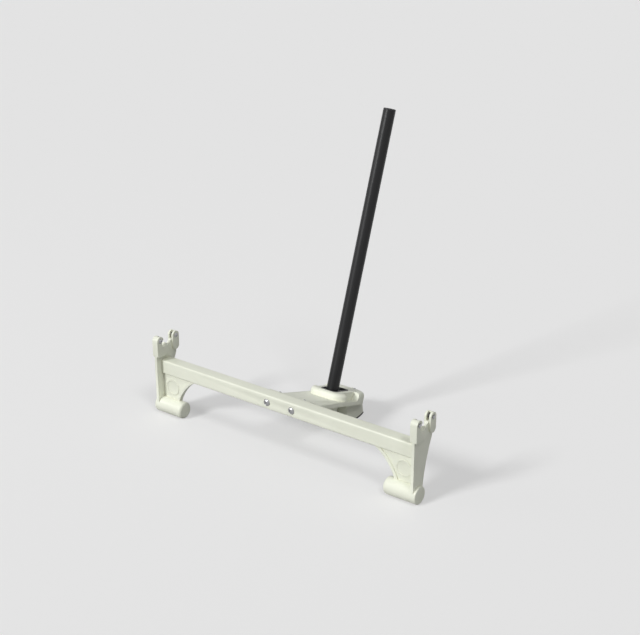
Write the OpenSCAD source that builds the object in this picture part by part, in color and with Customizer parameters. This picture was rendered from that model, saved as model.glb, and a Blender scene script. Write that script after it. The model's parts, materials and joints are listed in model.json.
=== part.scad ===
// Rocking lever jack that lifts a loaded barbell off the floor.
// The bar rests in two cradles, one on each end casting. The pole stands in the tail
// casting and levers the whole frame over its two round front feet.
// Geometry is laid out from the axis of the lifted bar and then set on the floor.

/* [Bar and stance] */
// Diameter of the bar shaft that the cradles hold
bar_d = 29; // [27:0.5:31]
// Height of the bar axis above the floor when lifted
bar_height = 256; // [250:1:275]
// Length over the outer faces of the two end walls
span = 1062; // [900:1:1250]

/* [End castings] */
// Thickness of the end wall
wall_t = 10; // [8:0.5:11]
// Reach of the wall in front of the bar axis
wall_front = 36; // [34:0.5:40]
// Reach of the wall behind the bar axis
wall_back = 60; // [56:0.5:64]
// Width of the wall where it meets the foot, measured behind the bar axis
wall_toe = 16; // [12:0.5:19]
// Radius of the hollow curve down the back of the wall
back_curve_r = 490; // [420:5:600]
// Width of the head and of the ears, along the bar
head_w = 24; // [22:0.5:28]
// Depth of the head below the bar axis
head_drop = 47; // [42:0.5:52]
// Reach of the cradle lip behind the bar axis
cradle_lip = 14; // [12:0.5:17]
// Radial room between the bar and its cradle
cradle_clear = 0.6; // [0.3:0.1:1]
// Radius of each rounded ear
ear_r = 15; // [14:0.25:16]
// Distance of the rear ear behind the bar axis
rear_ear_y = 54; // [52:0.5:58]
// Height of the rear ear's centre above the bar axis
rear_ear_z = 11; // [6:0.5:14]

/* [Web and feet] */
// Thickness of the web under the beam
web_t = 9; // [6:0.5:12]
// Distance of the web's front face in front of the bar axis
web_front = 8; // [5:0.5:11]
// Reach of the web along the beam, from the end wall's outer face
web_reach = 156; // [130:1:170]
// Reach of the web at the foot, from the end wall's outer face
web_toe = 84; // [75:1:95]
// Radius of the arch on the web's edge
arch_r = 172; // [150:1:220]
// Width of the rim that follows the arch
rim_w = 10; // [7:0.5:13]
// How far the rim stands out from the web, on each side
rim_proud = 4; // [2:0.5:6]
// Outer diameter of the plain raised ring on the web
ring_d = 58; // [46:1:62]
// Width of the raised ring
ring_w = 5; // [3:0.5:7]
// Height of the raised ring
ring_h = 1.5; // [1:0.25:2.5]
// Diameter of the round foot
foot_d = 58; // [52:1:64]
// Length of the round foot
foot_l = 120; // [100:1:130]
// How far the foot stands out past the end wall
foot_out = 9; // [7:0.5:14]
// Distance of the foot's axis in front of the bar axis
foot_front = 10; // [7:0.5:14]
// Rounding of the foot's inner end
foot_round = 10; // [6:0.5:14]
// Rounding of the foot's outer end
foot_edge = 4; // [2:0.5:6]

/* [Guide rollers] */
// Outer diameter of a guide roller
roller_d = 18; // [16:0.5:19]
// Width of a guide roller
roller_w = 9; // [7:0.5:10]
// Side room on each side of a roller
roller_side = 0.5; // [0.3:0.1:0.8]
// Room between the bar and the front roller
roller_gap = 0.6; // [0.5:0.1:0.8]
// Angle of the front roller round the bar, from the rear level line
roller_angle = 151.4; // [148:0.2:156]
// Room round a roller inside its pocket
pocket_room = 1.5; // [1:0.25:2]
// Diameter of an axle bolt
axle_d = 8; // [6:0.5:9]
// Running clearance between axle and roller, on the radius
axle_clear = 0.05; // [0.02:0.01:0.08]
// Diameter of an axle bolt's domed head
axle_head_d = 16; // [14:0.5:18]
// Height of an axle bolt's domed head
axle_head_h = 5; // [4:0.25:6]
// Size across the flats of an axle nut
axle_nut_af = 13; // [11:0.5:13.5]
// Height of an axle nut
axle_nut_h = 5; // [4:0.25:6]
// Depth of the round seat of an axle nut
axle_nut_seat = 3; // [2:0.25:4]

/* [Cross beam] */
// Height of the beam's section
beam_h = 50; // [46:1:56]
// Depth of the beam's section
beam_w = 45; // [40:1:48]
// Wall of the beam's tube
beam_t = 4; // [3:0.25:6]
// Outer corner radius of the tube
beam_r = 6; // [4.5:0.5:9]
// Distance of the beam's front face in front of the bar axis
beam_front = 15; // [12:0.5:18]
// Drop of the beam's top below the bar axis
beam_drop = 61; // [58:0.5:66]
// Length of the casting's plug inside the beam
plug_l = 40; // [20:1:60]
// Room between the plug and the tube
plug_clear = 0.3; // [0.2:0.05:0.5]

/* [Beam bolts] */
// Distance between the two beam bolts
bolt_pitch = 101; // [90:1:110]
// Diameter of a beam bolt
bolt_d = 16; // [12:0.5:18]
// Diameter of the domed bolt head
bolt_head_d = 24; // [22:0.5:28]
// Height of the domed bolt head
bolt_head_h = 8; // [6:0.5:10]
// Size across the hexagon of the key socket
bolt_key_af = 10; // [8:0.5:12]
// Radial room round a bolt in its hole
bolt_room = 0.5; // [0.3:0.1:1]
// Thickness of a washer
washer_t = 3; // [2:0.25:4]
// Outer diameter of a washer
washer_d = 28; // [26:0.5:32]
// Height of a nut
nut_h = 10; // [8:0.5:13]
// Size across the flats of a nut
nut_af = 24; // [22:0.5:26]
// Wall of the spacer sleeve inside the beam
sleeve_t = 3; // [2:0.25:4]

/* [Tail casting] */
// Width of the tail casting at the beam
tail_w = 166; // [158:1:176]
// Thickness of the tail's plates
tail_t = 10; // [8:0.5:11]
// Thickness of the flange bolted to the beam
flange_t = 12; // [10:0.5:14]
// Height of the flange's top below the beam's top
flange_drop = 7; // [5:0.5:9]
// Length of the level root behind the beam
root_l = 62; // [58:1:66]
// Downward slope of the neck
neck_slope = 16.7; // [15:0.1:18]
// Depth of the ribs under the neck
neck_rib = 14; // [12:0.5:14.5]
// Length of the sloping neck up to the block
neck_l = 130; // [120:1:140]
// Width of the raised block
block_w = 150; // [142:1:158]
// Length of the raised block, along the slope
block_l = 170; // [160:1:174]
// Height of the block above the neck
block_h = 24; // [20:0.5:28]
// Depth of the block's skirt below the neck's top
skirt = 15; // [15:0.5:20]
// Corner radius of the block, seen from above
block_r = 46; // [38:1:50]
// Rounding along the block's top edge
block_edge = 14; // [8:0.5:16]
// Width of the pocket round the pole
pocket_w = 58; // [56:1:60]
// Length of the pocket, along the slope
pocket_l = 85; // [80:1:96]
// Distance from the block's front to the pocket
pocket_inset = 21; // [18:0.5:24]
// Corner radius of the pocket
pocket_r = 12; // [9:0.5:16]
// Depth of the pocket
pocket_depth = 26; // [22:0.5:30]
// Wall round the pocket
pocket_wall = 8; // [6:0.5:10]
// Distance of each side notch from the casting's middle
notch_x = 49; // [46:0.5:52]
// Length of each side notch
notch_l = 76; // [60:1:84]
// Distance from the block's front to a side notch
notch_inset = 35; // [32:1:40]
// Depth of each side notch
notch_depth = 26; // [25:0.5:27]
// Length of the ramp at the back of each side notch
notch_ramp = 11; // [8:0.5:16]

/* [Heel and pad] */
// Width of the heel under the block
heel_w = 100; // [90:1:104]
// Length of the flat sole
sole_l = 58; // [50:1:66]
// Distance from the flat sole's back edge to the bar axis
sole_back = 345; // [340:1:352]
// Radius of the upturned end of the pad
heel_r = 107; // [96:1:116]
// Angle that the upturned end turns through
heel_turn = 22.5; // [18:0.5:24]
// Thickness of the rubber pad
pad_t = 6; // [5:0.5:8]
// Thread diameter of the pad's screws
pad_screw_d = 6; // [5:0.5:8]
// Distance between the pad's screws
pad_screw_pitch = 50; // [40:1:56]

/* [Pole] */
// Outer diameter of the pole
pole_d = 42; // [38:0.5:44]
// Wall of the pole's tube
pole_t = 3; // [2:0.25:5]
// Length of the pole above the block
pole_reach = 952; // [700:1:1100]
// Depth of the pole below the block's top
pole_depth = 84; // [74:1:88]
// Backward lean of the pole
pole_lean = 18.9; // [17:0.1:20]
// Distance of the pole's axis behind the pocket's front edge
pole_offset = 29; // [28:0.5:32]
// Radial room between the pole and its socket
socket_clear = 0.3; // [0.2:0.05:0.6]
// Wall of the socket
socket_wall = 9; // [7:0.5:11]
// Thickness of the cap's flange
cap_t = 6; // [4:0.5:10]
// Bevel on the cap
cap_bevel = 2; // [1:0.25:3]
// Length of a plug inside the pole
cap_plug = 26; // [18:1:36]
// Thickness of the plug under the pole's foot
foot_plug_t = 3; // [2:0.25:5]
// Thickness of the pocket's liner
liner_t = 3; // [2:0.25:4]
// How far the liner's lip stands above the block
liner_lip = 1.5; // [1:0.25:3]
// Thread diameter of the clamp screw
clamp_d = 12; // [10:0.5:14]
// Depth of the clamp screw's axis below the block's top
clamp_drop = 14; // [13:0.5:15]
// Size across the flats of the clamp screw's head
clamp_af = 18; // [16:0.5:19]
// Height of the clamp screw's head
clamp_head = 8; // [6:0.5:10]
// Diameter of the boss under the clamp screw's lock nut
clamp_boss_d = 26; // [24:0.5:27]
// How far the boss stands out from the block's back
clamp_boss_h = 2; // [1:0.25:3]

/* [Hidden] */
$fn = 72;
join = 0.02;
seat = 0.3;

bar_r = bar_d / 2;
cradle_r = bar_r + cradle_clear;
wall_x = span / 2 - wall_t;
head_x = span / 2 - wall_t / 2 - head_w / 2;
prong_x = head_x + head_w;
slot_w = roller_w + 2 * roller_side;
slot_x = head_x + (head_w - slot_w) / 2;
roller_r = roller_d / 2;
roller_pocket_r = roller_r + pocket_room;
roller_far = bar_r + roller_gap + roller_r;
front_ear = [roller_far * cos(roller_angle), roller_far * sin(roller_angle)];
rear_ear = [rear_ear_y, rear_ear_z];

foot_r = foot_d / 2;
foot_z = foot_r - bar_height;
foot_x = span / 2 + foot_out - foot_l;

beam_top = -beam_drop;
beam_bottom = beam_top - beam_h;
beam_back = beam_w - beam_front;
beam_mid_z = beam_top - beam_h / 2;
tube_inner_r = max(beam_r - beam_t, 0.5);
bolt_z = beam_mid_z;
bolt_end = beam_back + flange_t + washer_t + nut_h + 3;

plate_top = beam_bottom + tail_t - 1;
knee = [beam_back + root_l, plate_top];
ns = sin(neck_slope);
nc = cos(neck_slope);
block_s = neck_l;
pocket_s = block_s + pocket_inset;
pole_s = pocket_s + pole_offset;
pole_top_point = on_neck(pole_s, block_h);
pole_foot = pole_top_point - pole_depth * [sin(pole_lean), cos(pole_lean)];
pole_l = pole_depth + pole_reach;
pole_r = pole_d / 2;
socket_r = pole_r + socket_clear;
socket_low = -foot_plug_t - seat;
notch_s = block_s + notch_inset;
notch_floor = block_h - notch_depth;
taper_s = block_s + block_r + 6;

floor_z = -bar_height;
sole_z = floor_z + pad_t;
heel_centre = [sole_back, floor_z + heel_r];
sole_front = sole_back - sole_l;

// The frame of the part: on the floor, in the middle of its own outline
front_y = -foot_front - foot_r;
back_y = pole_foot[0] + (pole_l + cap_t - cap_bevel) * sin(pole_lean) + pole_r * cos(pole_lean);
middle_y = (front_y + back_y) / 2;

// Point on the side view of the neck: s along the slope, h square to it
function on_neck(s, h) = knee + [s * nc + h * ns, h * nc - s * ns];
// Centre of the circle of radius r through a and b, on the right of the way from a to b
function arc_centre(a, b, r) =
    let(half = (b - a) / 2, d = norm(half))
    a + half + sqrt(r * r - d * d) / d * [half[1], -half[0]];

module at_bar() translate([0, -middle_y, bar_height]) children();

// A side view (y, z) drawn in the XY plane, extruded along the bar from x = from to x = to
module along_bar(from, to)
    translate([from, 0, 0]) rotate([90, 0, 90]) linear_extrude(to - from) children();

// A round piece whose axis is the local Z, laid along the bar
module lie_along_bar(x, point)
    translate([x, point[0], point[1]]) rotate([90, 0, 90]) children();

module on_neck_frame()
    translate([0, knee[0], knee[1]]) rotate([-neck_slope, 0, 0]) children();

module in_pole_frame()
    translate([0, pole_foot[0], pole_foot[1]]) rotate([-pole_lean, 0, 0]) children();

// Rectangle with round corners, centred in x, starting at y = 0
module round_slab_2d(w, l, r) {
    translate([-w / 2 + r, 0]) square([w - 2 * r, l]);
    translate([-w / 2, r]) square([w, l - 2 * r]);
    for (x = [-1, 1], y = [r, l - r])
        translate([x * (w / 2 - r), y]) circle(r);
}

module hexagon_2d(af) circle(d = af / cos(30), $fn = 6);

// Domed screw head: base at z = 0, dome upward, with a key socket
module domed_head(d, h, key_af) {
    rise = h * 0.7;
    ball = (d * d / 4 + rise * rise) / (2 * rise);
    difference() {
        intersection() {
            cylinder(d = d, h = h);
            translate([0, 0, h - ball]) sphere(ball, $fn = 96);
        }
        translate([0, 0, h / 2]) linear_extrude(h) hexagon_2d(key_af);
    }
}

// Side view of the plain end wall
module wall_2d() {
    top = [wall_back, -head_drop - 7];
    toe = [wall_toe, foot_z + foot_r / 2];
    centre = arc_centre(toe, top, back_curve_r);
    difference() {
        polygon([
            [-wall_front, 0], [-wall_front, foot_z], [wall_toe, foot_z], toe,
            [wall_back, toe[1]], [wall_back, rear_ear_z], [wall_back - ear_r, rear_ear_z],
            [cradle_lip + 10, -bar_r], [0, -bar_r]
        ]);
        translate(centre) circle(back_curve_r, $fn = 360);
    }
}

// Side view of the thick head with its front ear
module head_2d() {
    corner = 9;
    nip = 4;
    difference() {
        union() {
            translate(front_ear) circle(ear_r);
            polygon([
                [front_ear[0] - ear_r, front_ear[1]], [-wall_front, -head_drop + nip],
                [-wall_front + nip, -head_drop], [cradle_lip - corner, -head_drop],
                [cradle_lip - corner, -head_drop + corner], [cradle_lip, -head_drop + corner],
                [cradle_lip, -bar_r / 2], [0, front_ear[1]]
            ]);
            translate([cradle_lip - corner, -head_drop + corner]) circle(corner);
        }
        circle(cradle_r, $fn = 144);
        square([wall_back, wall_back]);
    }
}

// Side view of the rear ear and its stem
module rear_ear_2d() {
    stem = 22;
    translate(rear_ear) circle(ear_r);
    translate([rear_ear_y - ear_r, rear_ear_z - stem - ear_r]) square([2 * ear_r, stem + ear_r]);
    translate([rear_ear_y, rear_ear_z - stem - ear_r]) circle(ear_r);
}

// Front view of the web, from the beam down into the foot
module web_2d() {
    top = [span / 2 - web_reach, beam_bottom];
    toe = [span / 2 - web_toe, foot_z + foot_r];
    centre = arc_centre(top, toe, arch_r);
    difference() {
        polygon([top, [wall_x + join, beam_bottom], [wall_x + join, foot_z], [toe[0], foot_z], toe]);
        translate(centre) circle(arch_r, $fn = 240);
    }
}

module arch_rim_2d() {
    top = [span / 2 - web_reach, beam_bottom];
    toe = [span / 2 - web_toe, foot_z + foot_r];
    centre = arc_centre(top, toe, arch_r);
    intersection() {
        web_2d();
        translate(centre) circle(arch_r + rim_w, $fn = 240);
    }
}

// A front view (x, z) extruded towards the back, starting at y = from
module towards_back(from, depth)
    translate([0, from + depth, 0]) rotate([90, 0, 0]) linear_extrude(depth) children();

// Rounded rim of the foot: a ring of round section with its filled middle
module foot_rim(x, r) {
    lie_along_bar(x, [-foot_front, foot_z]) rotate_extrude($fn = 120) translate([foot_r - r, 0]) circle(r);
    lie_along_bar(x - r, [-foot_front, foot_z]) cylinder(r = foot_r - r, h = 2 * r, $fn = 120);
}

module foot() {
    lie_along_bar(foot_x + foot_round, [-foot_front, foot_z])
        cylinder(r = foot_r, h = foot_l - foot_round - foot_edge, $fn = 120);
    foot_rim(foot_x + foot_round, foot_round);
    foot_rim(foot_x + foot_l - foot_edge, foot_edge);
}

module roller_pocket(ear, mouth_y) {
    lie_along_bar(slot_x, ear) cylinder(r = roller_pocket_r, h = slot_w);
    // Open towards the bar and upward
    translate([slot_x, min(ear[0], mouth_y), ear[1] - roller_pocket_r])
        cube([slot_w, abs(mouth_y - ear[0]), 2 * roller_pocket_r]);
    translate([slot_x, min(ear[0], mouth_y), ear[1]])
        cube([slot_w, abs(mouth_y - ear[0]), 2 * ear_r]);
}

module axle_holes(ear) {
    lie_along_bar(head_x - 1, ear) cylinder(r = axle_d / 2 + axle_clear, h = head_w + 2);
    lie_along_bar(prong_x - axle_nut_seat, ear)
        cylinder(r = axle_nut_af / 2 / cos(30) + 0.5, h = axle_nut_seat + 1);
}

// Plug that enters the end of the beam
module beam_plug() {
    inset = beam_t + plug_clear;
    along_bar(wall_x - plug_l, wall_x + join) translate([beam_back - beam_w / 2, beam_bottom + inset])
        round_slab_2d(beam_w - 2 * inset, beam_h - 2 * inset, tube_inner_r + 1);
}

// The casting at the end in +x
module end_casting() {
    ring_at = [span / 2 - 53, (beam_bottom + foot_z + foot_r) / 2];
    color([0.93, 0.94, 0.86]) at_bar() {
        difference() {
            union() {
                along_bar(wall_x, wall_x + wall_t) wall_2d();
                along_bar(head_x, prong_x) head_2d();
                along_bar(head_x, prong_x) rear_ear_2d();
                towards_back(-web_front, web_t) web_2d();
                towards_back(-web_front - rim_proud, web_t + 2 * rim_proud) arch_rim_2d();
                towards_back(-web_front - ring_h, ring_h + join) translate(ring_at) difference() {
                    circle(d = ring_d);
                    circle(d = ring_d - 2 * ring_w);
                }
                foot();
                beam_plug();
            }
            lie_along_bar(wall_x - head_w, [0, 0]) cylinder(r = cradle_r, h = 2 * head_w, $fn = 144);
            roller_pocket(front_ear, 0);
            roller_pocket(rear_ear, rear_ear_y - 2 * ear_r);
            axle_holes(front_ear);
            axle_holes(rear_ear);
        }
    }
}

module left_end_casting() mirror([1, 0, 0]) end_casting();
module right_end_casting() end_casting();

module cross_beam() {
    color([0.93, 0.94, 0.86]) at_bar() difference() {
        along_bar(-wall_x, wall_x) translate([beam_back - beam_w / 2, beam_bottom]) difference() {
            round_slab_2d(beam_w, beam_h, beam_r);
            translate([0, beam_t]) round_slab_2d(beam_w - 2 * beam_t, beam_h - 2 * beam_t, tube_inner_r);
        }
        for (x = [-1, 1])
            translate([x * bolt_pitch / 2, beam_back + 1, bolt_z]) rotate([90, 0, 0])
                cylinder(r = bolt_d / 2 + bolt_room, h = beam_w + 2);
    }
}

module roller(side, ear) {
    rim = 1;
    color([0.08, 0.08, 0.08]) at_bar() mirror([side < 0 ? 1 : 0, 0, 0])
        lie_along_bar(slot_x + roller_side, ear) rotate_extrude($fn = 96) polygon([
            [axle_d / 2 + axle_clear, 0], [roller_r - rim, 0], [roller_r, rim],
            [roller_r, roller_w - rim], [roller_r - rim, roller_w], [axle_d / 2 + axle_clear, roller_w]
        ]);
}

module left_front_roller() roller(-1, front_ear);
module left_rear_roller() roller(-1, rear_ear);
module right_front_roller() roller(1, front_ear);
module right_rear_roller() roller(1, rear_ear);

// Axle bolt with its domed head on the inner side of the head
module axle(side, ear) {
    color([0.6, 0.6, 0.62]) at_bar() mirror([side < 0 ? 1 : 0, 0, 0]) {
        lie_along_bar(head_x, ear) cylinder(d = axle_d, h = head_w - axle_nut_seat + axle_nut_h);
        lie_along_bar(head_x, ear) rotate([180, 0, 0])
            domed_head(axle_head_d, axle_head_h, axle_d * 0.6);
    }
}

module left_front_axle() axle(-1, front_ear);
module left_rear_axle() axle(-1, rear_ear);
module right_front_axle() axle(1, front_ear);
module right_rear_axle() axle(1, rear_ear);

module axle_nuts(side) {
    color([0.6, 0.6, 0.62]) at_bar() mirror([side < 0 ? 1 : 0, 0, 0])
        for (ear = [front_ear, rear_ear])
            lie_along_bar(prong_x - axle_nut_seat, ear) linear_extrude(axle_nut_h) difference() {
                hexagon_2d(axle_nut_af);
                circle(r = axle_d / 2 + join);
            }
}

module left_axle_nuts() axle_nuts(-1);
module right_axle_nuts() axle_nuts(1);

module on_bolts(y)
    for (x = [-1, 1])
        translate([x * bolt_pitch / 2, y, bolt_z]) rotate([-90, 0, 0]) children();

module beam_bolts() {
    color([0.6, 0.6, 0.62]) at_bar() {
        on_bolts(-beam_front) cylinder(d = bolt_d, h = bolt_end + beam_front);
        on_bolts(-beam_front) rotate([180, 0, 0]) domed_head(bolt_head_d, bolt_head_h, bolt_key_af);
    }
}

module tube_2d(outer_r, inner_r) difference() {
    circle(outer_r);
    circle(inner_r);
}

module beam_bolt_sleeves() {
    inner = bolt_d / 2 + bolt_room;
    color([0.6, 0.6, 0.62]) at_bar()
        on_bolts(-beam_front + beam_t) linear_extrude(beam_w - 2 * beam_t) tube_2d(inner + sleeve_t, inner);
}

module beam_bolt_washers() {
    color([0.6, 0.6, 0.62]) at_bar()
        on_bolts(beam_back + flange_t) linear_extrude(washer_t) tube_2d(washer_d / 2, bolt_d / 2 + bolt_room);
}

module beam_bolt_nuts() {
    color([0.6, 0.6, 0.62]) at_bar()
        on_bolts(beam_back + flange_t + washer_t) linear_extrude(nut_h) difference() {
            hexagon_2d(nut_af);
            circle(r = bolt_d / 2 + join);
        }
}

// Side view of the neck's plate: level root, then the slope
module neck_plate_2d() polygon([
    [beam_back, plate_top], knee, on_neck(taper_s, 0), on_neck(taper_s, -tail_t),
    knee - [tail_t * tan(neck_slope / 2), tail_t], [beam_back, plate_top - tail_t]
]);

// Side view of a rib: gusset above the root, even depth under the neck
module rib_2d() polygon([
    [beam_back, beam_top - flange_drop], [beam_back + flange_t, beam_top - flange_drop],
    knee, on_neck(taper_s, 0), on_neck(taper_s, -neck_rib),
    knee - [neck_rib * tan(neck_slope / 2), neck_rib], [beam_back, plate_top - neck_rib]
]);

// Outline of the neck from above: as wide as the flange, then narrowing to the block
module neck_plan_2d(inset) {
    wide = tail_w / 2 - inset;
    narrow = block_w / 2 - 1 - 0.8 * inset;
    polygon([
        [-wide, -2 * root_l], [wide, -2 * root_l], [wide, 0], [narrow, taper_s],
        [-narrow, taper_s], [-wide, 0]
    ]);
}

// A form seen from above, cut straight through the neck
module through_neck() on_neck_frame() translate([0, 0, -100]) linear_extrude(200) children();

module neck_plate() intersection() {
    along_bar(-tail_w / 2, tail_w / 2) neck_plate_2d();
    through_neck() neck_plan_2d(0);
}

module neck_ribs() {
    intersection() {
        along_bar(-tail_w / 2, tail_w / 2) rib_2d();
        through_neck() difference() {
            neck_plan_2d(0);
            neck_plan_2d(tail_t);
        }
    }
    intersection() {
        along_bar(-tail_t / 2, tail_t / 2) rib_2d();
        through_neck() translate([-tail_t, -2 * root_l]) square([2 * tail_t, 2 * root_l + block_s + tail_t / 2]);
    }
}

// Cross section of the block: square below, with rounded top corners
module block_section_2d(w) {
    translate([-w / 2, -skirt]) square([w, skirt + block_h - block_edge]);
    translate([-w / 2 + block_edge, -skirt]) square([w - 2 * block_edge, skirt + block_h]);
    for (x = [-1, 1])
        translate([x * (w / 2 - block_edge), block_h - block_edge]) circle(block_edge);
}

// Round corner of the block, with the same rounded top edge
module block_corner() {
    translate([0, 0, -skirt]) cylinder(r = block_r, h = skirt + block_h - block_edge, $fn = 120);
    translate([0, 0, -skirt]) cylinder(r = block_r - block_edge, h = skirt + block_h, $fn = 120);
    translate([0, 0, block_h - block_edge])
        rotate_extrude($fn = 120) translate([block_r - block_edge, 0]) circle(block_edge);
}

module block_form() {
    half = block_w / 2 - block_r;
    translate([0, block_s + block_l - block_r, 0]) rotate([90, 0, 0])
        linear_extrude(block_l - 2 * block_r) block_section_2d(block_w);
    translate([-half, block_s + block_l / 2, 0]) rotate([90, 0, 90])
        linear_extrude(2 * half) block_section_2d(block_l);
    for (x = [-half, half], y = [block_s + block_r, block_s + block_l - block_r])
        translate([x, y, 0]) block_corner();
}

// Side view of a notch: level floor, then a ramp up to the block's top
module notch_2d() polygon([
    on_neck(notch_s, block_h + 5), on_neck(notch_s, notch_floor),
    on_neck(notch_s + notch_l - notch_ramp, notch_floor), on_neck(notch_s + notch_l, block_h),
    on_neck(notch_s + notch_l, block_h + 5)
]);

// Hollow under the block, with the walls of the pocket and of the notches left standing
module block_hollow() {
    wall = tail_t / 2;
    difference() {
        translate([0, block_s + tail_t, -skirt - 1])
            linear_extrude(skirt + 1 + block_h - tail_t)
                round_slab_2d(block_w - 2 * tail_t, block_l - 2 * tail_t, block_r - tail_t);
        translate([0, pocket_s - pocket_wall, -skirt - 2]) linear_extrude(skirt + 2 + block_h)
            round_slab_2d(pocket_w + 2 * pocket_wall, pocket_l + 2 * pocket_wall, pocket_r + pocket_wall);
        for (x = [-block_w, notch_x - wall])
            translate([x, notch_s - wall, notch_floor - wall])
                cube([block_w - notch_x + wall, notch_l + 2 * wall, notch_depth + tail_t]);
    }
}

// Solid of the pocket, from its floor up through the block's top
module pocket_cut(inset)
    translate([0, pocket_s + inset, block_h - pocket_depth])
        linear_extrude(pocket_depth + 20)
            round_slab_2d(pocket_w - 2 * inset, pocket_l - 2 * inset, pocket_r - inset);

// Side view of the heel that stands on the pad
module heel_2d(inset) {
    full_r = heel_r - pad_t - join;
    r = full_r - inset;
    reach = full_r * sin(heel_turn) - inset;
    low = heel_centre[1] - r;
    top_front = on_neck(pocket_s + pocket_l * 0.6 + inset, -4);
    top_back = on_neck(block_s + block_l - inset - 3, -4);
    intersection() {
        polygon([[sole_front + inset, low - 5], [sole_back + reach, low - 5], top_back, top_front]);
        union() {
            translate([sole_front, low]) square([sole_l, heel_r]);
            translate(heel_centre) circle(r, $fn = 180);
        }
    }
}

module clamp_axis()
    on_neck_frame()
        translate([0, block_s + block_l + clamp_boss_h, block_h - clamp_drop])
            rotate([90, 0, 0]) children();

module tail_casting() {
    flange_top = beam_top - flange_drop;
    color([0.93, 0.94, 0.86]) at_bar() difference() {
        union() {
            translate([-tail_w / 2, beam_back, plate_top - neck_rib])
                cube([tail_w, flange_t, flange_top - plate_top + neck_rib]);
            difference() {
                union() {
                    neck_plate();
                    neck_ribs();
                    on_neck_frame() block_form();
                }
                on_neck_frame() block_hollow();
            }
            clamp_axis() cylinder(d = clamp_boss_d, h = clamp_boss_h + tail_t / 2);
            difference() {
                along_bar(-heel_w / 2, heel_w / 2) heel_2d(0);
                along_bar(-heel_w / 2 + tail_t, heel_w / 2 - tail_t) heel_2d(tail_t);
            }
            in_pole_frame() translate([0, 0, socket_low - socket_wall])
                cylinder(r = socket_r + socket_wall, h = pole_depth - pocket_depth + 6 - socket_low + socket_wall);
        }
        on_neck_frame() pocket_cut(0);
        along_bar(-tail_w / 2, -notch_x) notch_2d();
        along_bar(notch_x, tail_w / 2) notch_2d();
        in_pole_frame() translate([0, 0, socket_low]) cylinder(r = socket_r, h = pole_depth + 40);
        on_bolts(beam_back - 1) cylinder(r = bolt_d / 2 + bolt_room, h = flange_t + 2);
        clamp_axis() translate([0, 0, -1]) cylinder(d = clamp_d, h = block_s + block_l - pole_s);
        for (x = [-1, 1])
            translate([x * pad_screw_pitch / 2, (sole_front + sole_back) / 2, sole_z - 1])
                cylinder(d = pad_screw_d, h = tail_t + 2);
    }
}

module pocket_liner() {
    lip = 3;
    color([0.06, 0.06, 0.06]) at_bar() difference() {
        on_neck_frame() {
            difference() {
                translate([0, pocket_s, block_h - pocket_depth]) linear_extrude(pocket_depth + join)
                    round_slab_2d(pocket_w, pocket_l, pocket_r);
                pocket_cut(liner_t);
            }
            translate([0, 0, block_h]) linear_extrude(liner_lip) difference() {
                translate([0, pocket_s - lip]) round_slab_2d(pocket_w + 2 * lip, pocket_l + 2 * lip, pocket_r + lip);
                translate([0, pocket_s + liner_t])
                    round_slab_2d(pocket_w - 2 * liner_t, pocket_l - 2 * liner_t, pocket_r - liner_t);
            }
        }
        clamp_axis() cylinder(d = clamp_d + 1, h = block_l);
    }
}

// Screw from the block's back wall to the pole
module clamp_screw() {
    back = on_neck(block_s + block_l + clamp_boss_h, block_h - clamp_drop);
    along = (back - pole_foot) * [cos(pole_lean), -sin(pole_lean)];
    reach = (along - pole_r - seat) / cos(pole_lean - neck_slope) - clamp_d / 2 * tan(pole_lean - neck_slope);
    color([0.6, 0.6, 0.62]) at_bar() clamp_axis() {
        cylinder(d = clamp_d - 2 * join, h = reach);
        translate([0, 0, -nut_gap() - clamp_head]) linear_extrude(clamp_head) hexagon_2d(clamp_af);
        translate([0, 0, -nut_gap()]) cylinder(d = clamp_d - 2 * join, h = nut_gap() + join);
    }
}

// Room between the block's back wall and the screw's head, filled by the lock nut
function nut_gap() = clamp_head + 1;

module clamp_screw_nut() {
    color([0.6, 0.6, 0.62]) at_bar() clamp_axis()
        translate([0, 0, -clamp_head]) linear_extrude(clamp_head - join) difference() {
            hexagon_2d(clamp_af);
            circle(d = clamp_d + join);
        }
}

module pole() {
    color([0.07, 0.07, 0.07]) at_bar() in_pole_frame()
        linear_extrude(pole_l) tube_2d(pole_r, pole_r - pole_t);
}

module pole_plug(out, bevel) {
    bore = pole_r - pole_t - join;
    rotate_extrude() polygon([
        [0, -cap_plug], [bore - 1, -cap_plug], [bore, -cap_plug + 1], [bore, 0], [pole_r, 0],
        [pole_r, out - bevel], [pole_r - bevel, out], [0, out]
    ]);
}

module pole_top_cap() {
    color([0.06, 0.06, 0.06]) at_bar() in_pole_frame()
        translate([0, 0, pole_l]) pole_plug(cap_t, cap_bevel);
}

module pole_bottom_plug() {
    color([0.06, 0.06, 0.06]) at_bar() in_pole_frame()
        rotate([180, 0, 0]) pole_plug(foot_plug_t, cap_bevel / 2);
}

// Side view of the rubber pad: flat sole and upturned end
module pad_2d() {
    translate([sole_front, floor_z]) square([sole_l, pad_t]);
    intersection() {
        translate(heel_centre) difference() {
            circle(heel_r, $fn = 180);
            circle(heel_r - pad_t, $fn = 180);
        }
        polygon([
            heel_centre, heel_centre - [0, 2 * heel_r],
            heel_centre + 2 * heel_r * [sin(heel_turn), -cos(heel_turn)]
        ]);
    }
}

module pad_screws_at(z)
    for (x = [-1, 1])
        translate([x * pad_screw_pitch / 2, (sole_front + sole_back) / 2, z]) children();

module rear_pad() {
    color([0.06, 0.06, 0.06]) at_bar() difference() {
        along_bar(-heel_w / 2, heel_w / 2) pad_2d();
        pad_screws_at(floor_z - 1) cylinder(d = pad_screw_d + 1, h = pad_t + 2);
        pad_screws_at(floor_z - 1) cylinder(d = 2 * pad_screw_d + 1, h = pad_t / 2 + 1);
    }
}

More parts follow.
